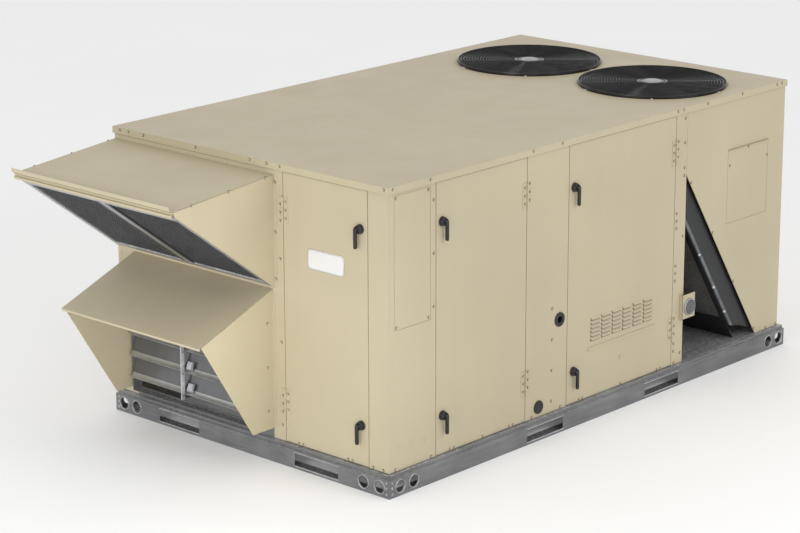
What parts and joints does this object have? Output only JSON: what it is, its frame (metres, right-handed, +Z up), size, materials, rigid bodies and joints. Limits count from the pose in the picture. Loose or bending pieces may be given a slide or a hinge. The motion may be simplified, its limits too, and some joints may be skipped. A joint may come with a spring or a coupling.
{
  "type": "packaged rooftop air conditioner",
  "caption": "Sheet-metal rooftop air conditioner on a lifting base, with scroll compressors, slanted condenser coil, roof fans, hinged doors, intake hood and relief damper.",
  "frame": {"origin": "floor level, below the centre of the whole outline, hoods included", "axes": "+X towards the condenser end, -Y towards the doors, +Z up"},
  "size_m": [3.062, 1.5245, 1.203],
  "materials": {
    "galvanised": "spangled zinc, dull",
    "cabinet_paint": "fine satin powder coat",
    "handle_black": "moulded, satin",
    "rubber": "moulded",
    "guard_wire": "black coated wire",
    "end_plate_steel": "dark coated sheet",
    "coil_fins": "dark fins",
    "mesh_filter": "woven wire",
    "pleated_filter": "pleated media",
    "motor_grey": "satin",
    "compressor_black": "gloss enamel",
    "copper": "drawn copper",
    "control_steel": "plain galvanised"
  },
  "bodies": {
    "cabinet": {"base_rail_front": "galvanised", "base_rail_back": "galvanised", "base_rail_hood_end": "galvanised", "base_rail_coil_end": "galvanised", "base_pan": "galvanised", "intake_filter_frame": "galvanised", "relief_frame": "galvanised", "blower_partition": "galvanised", "blower_housing": "galvanised", "roof_panel": "cabinet_paint", "corner_panel": "cabinet_paint", "corner_access_cover": "cabinet_paint", "mullion_panel": "cabinet_paint", "condenser_partition": "cabinet_paint", "coil_side_panel_front": "cabinet_paint", "coil_side_panel_back": "cabinet_paint", "coil_side_cover": "cabinet_paint", "coil_end_panel": "cabinet_paint", "back_panel": "cabinet_paint", "hood_end_panel": "cabinet_paint", "intake_hood_top": "cabinet_paint", "intake_hood_sides": "cabinet_paint", "relief_hood_top": "cabinet_paint", "relief_hood_sides": "cabinet_paint", "cabinet_hinges": "cabinet_paint", "cabinet_screws": "cabinet_paint", "grommet_and_plug": "rubber", "fan_guards": "guard_wire", "coil_end_plates": "end_plate_steel", "condenser_coil": "coil_fins", "evaporator_coil": "coil_fins", "intake_filters": "mesh_filter", "supply_filters": "pleated_filter", "fan_motors": "motor_grey", "blower_motor": "motor_grey", "outdoor_sensor": "motor_grey", "scroll_compressor_1": "compressor_black", "scroll_compressor_2": "compressor_black", "refrigerant_pipes": "copper", "control_box": "control_steel"},
    "end_door": {"end_door": "cabinet_paint", "end_door_hinges": "cabinet_paint"},
    "blower_door": {"blower_door": "cabinet_paint", "blower_door_hinges": "cabinet_paint"},
    "control_door": {"control_door": "cabinet_paint", "control_door_hinges": "cabinet_paint"},
    "end_door_handle_1": {"end_door_handle_1": "handle_black"},
    "end_door_handle_2": {"end_door_handle_2": "handle_black"},
    "blower_door_handle_1": {"blower_door_handle_1": "handle_black"},
    "blower_door_handle_2": {"blower_door_handle_2": "handle_black"},
    "control_door_handle_1": {"control_door_handle_1": "handle_black"},
    "control_door_handle_2": {"control_door_handle_2": "handle_black"},
    "relief_blade_1": {"relief_blade_1": "galvanised"},
    "relief_blade_2": {"relief_blade_2": "galvanised"},
    "relief_blade_3": {"relief_blade_3": "galvanised"},
    "relief_blade_4": {"relief_blade_4": "galvanised"},
    "relief_link": {"relief_link": "galvanised"},
    "condenser_fan_1": {"condenser_fan_1": "handle_black"},
    "condenser_fan_2": {"condenser_fan_2": "handle_black"},
    "blower_wheel": {"blower_wheel": "galvanised"}
  },
  "joints": [
    {"name": "end_door_hinge", "type": "hinge", "parent": "cabinet", "child": "end_door", "pos_m": [-1, -0.202, 0.63], "axis": [0, 0, -1], "range_deg": [0, 90]},
    {"name": "blower_door_hinge", "type": "hinge", "parent": "cabinet", "child": "blower_door", "pos_m": [-0.213, -0.743, 0.63], "axis": [0, 0, 1], "range_deg": [0, 120]},
    {"name": "control_door_hinge", "type": "hinge", "parent": "cabinet", "child": "control_door", "pos_m": [0.734, -0.743, 0.63], "axis": [0, 0, 1], "range_deg": [0, 120]},
    {"name": "end_door_latch_1", "type": "hinge", "parent": "end_door", "child": "end_door_handle_1", "pos_m": [-0.996, -0.6, 1.009], "axis": [1, 0, 0], "range_deg": [0, 90]},
    {"name": "end_door_latch_2", "type": "hinge", "parent": "end_door", "child": "end_door_handle_2", "pos_m": [-0.996, -0.601, 0.25], "axis": [1, 0, 0], "range_deg": [0, 90]},
    {"name": "blower_door_latch_1", "type": "hinge", "parent": "blower_door", "child": "blower_door_handle_1", "pos_m": [-0.703, -0.739, 1.005], "axis": [0, -1, 0], "range_deg": [0, 90]},
    {"name": "blower_door_latch_2", "type": "hinge", "parent": "blower_door", "child": "blower_door_handle_2", "pos_m": [-0.701, -0.739, 0.246], "axis": [0, -1, 0], "range_deg": [0, 90]},
    {"name": "control_door_latch_1", "type": "hinge", "parent": "control_door", "child": "control_door_handle_1", "pos_m": [0.075, -0.739, 0.986], "axis": [0, -1, 0], "range_deg": [0, 90]},
    {"name": "control_door_latch_2", "type": "hinge", "parent": "control_door", "child": "control_door_handle_2", "pos_m": [0.082, -0.739, 0.227], "axis": [0, -1, 0], "range_deg": [0, 90]},
    {"name": "relief_pivot_1", "type": "hinge", "parent": "cabinet", "child": "relief_blade_1", "pos_m": [-1.014, 0.26, 0.262], "axis": [0, 1, 0], "range_deg": [0, 50]},
    {"name": "relief_pivot_2", "type": "hinge", "parent": "cabinet", "child": "relief_blade_2", "pos_m": [-1.014, 0.26, 0.3525], "axis": [0, 1, 0], "range_deg": [0, 50]},
    {"name": "relief_pivot_3", "type": "hinge", "parent": "cabinet", "child": "relief_blade_3", "pos_m": [-1.014, 0.26, 0.443], "axis": [0, 1, 0], "range_deg": [0, 50]},
    {"name": "relief_pivot_4", "type": "hinge", "parent": "cabinet", "child": "relief_blade_4", "pos_m": [-1.014, 0.26, 0.5335], "axis": [0, 1, 0], "range_deg": [0, 50]},
    {"name": "relief_link_pivot", "type": "hinge", "parent": "relief_blade_1", "child": "relief_link", "pos_m": [-1.068, 0.299, 0.178], "axis": [0, 1, 0], "range_deg": [-50, 0]},
    {"name": "condenser_fan_spin_1", "type": "hinge", "parent": "cabinet", "child": "condenser_fan_1", "pos_m": [1.057, -0.3655, 1.06], "axis": [0, 0, 1], "continuous": true},
    {"name": "condenser_fan_spin_2", "type": "hinge", "parent": "cabinet", "child": "condenser_fan_2", "pos_m": [1.057, 0.3135, 1.06], "axis": [0, 0, 1], "continuous": true},
    {"name": "blower_spin", "type": "hinge", "parent": "cabinet", "child": "blower_wheel", "pos_m": [-0.281, 0, 0.56], "axis": [0, 1, 0], "continuous": true}
  ],
  "couplings": [
    {"joint": "relief_pivot_2", "follows": "relief_pivot_1", "ratio": 1},
    {"joint": "relief_pivot_3", "follows": "relief_pivot_1", "ratio": 1},
    {"joint": "relief_pivot_4", "follows": "relief_pivot_1", "ratio": 1},
    {"joint": "relief_link_pivot", "follows": "relief_pivot_1", "ratio": -1}
  ]
}
